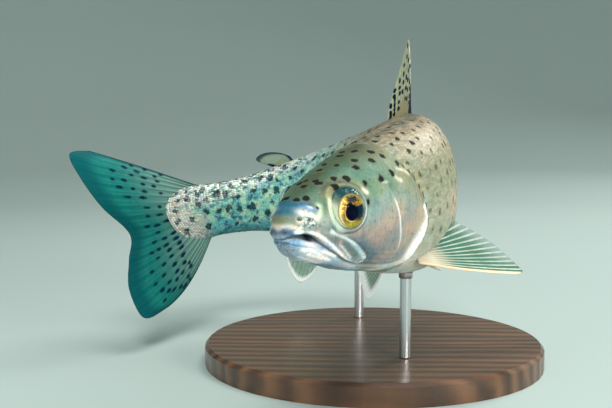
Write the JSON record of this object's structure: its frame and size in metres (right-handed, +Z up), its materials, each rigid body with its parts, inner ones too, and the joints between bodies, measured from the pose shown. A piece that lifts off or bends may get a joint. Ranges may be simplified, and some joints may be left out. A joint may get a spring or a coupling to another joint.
{
  "type": "rainbow trout",
  "caption": "Life-size still model of a rainbow trout bent in a tight turn with its fins spread, held over a flat oval base by short upright rods.",
  "frame": {"origin": "on the floor, under the middle of the model's bounding box", "axes": "+Z up; -Y towards the viewer; the head points towards -X and -Y, and the tail fin lies on the -X side"},
  "size_m": [0.2259, 0.2133, 0.1532],
  "materials": {
    "skin": "wet fish skin, olive back with black spots, silvery flank",
    "face": "wet silvery skin over thin bone, faintly pink",
    "fin": "thin ribbed fin, partly see-through, with dark spots",
    "eye": "gold iris round a dark pupil under a clear cornea",
    "stand_wood": "dark stained, satin",
    "stand_steel": "brushed"
  },
  "bodies": {
    "root": {"head": "skin", "lower_jaw": "face", "maxilla_left": "face", "maxilla_right": "face", "gill_cover_left": "face", "gill_cover_right": "face", "eye_left": "eye", "eye_right": "eye", "trunk_front": "skin", "trunk_middle": "skin", "trunk_rear": "skin", "tail_stalk": "skin", "dorsal_fin": "fin", "adipose_fin": "fin", "anal_fin": "fin", "caudal_fin": "fin", "pectoral_fin_left": "fin", "pectoral_fin_right": "fin", "pelvic_fin_left": "fin", "pelvic_fin_right": "fin", "stand_base": "stand_wood", "stand_rod_front": "stand_steel", "stand_rod_rear": "stand_steel"}
  },
  "joints": []
}
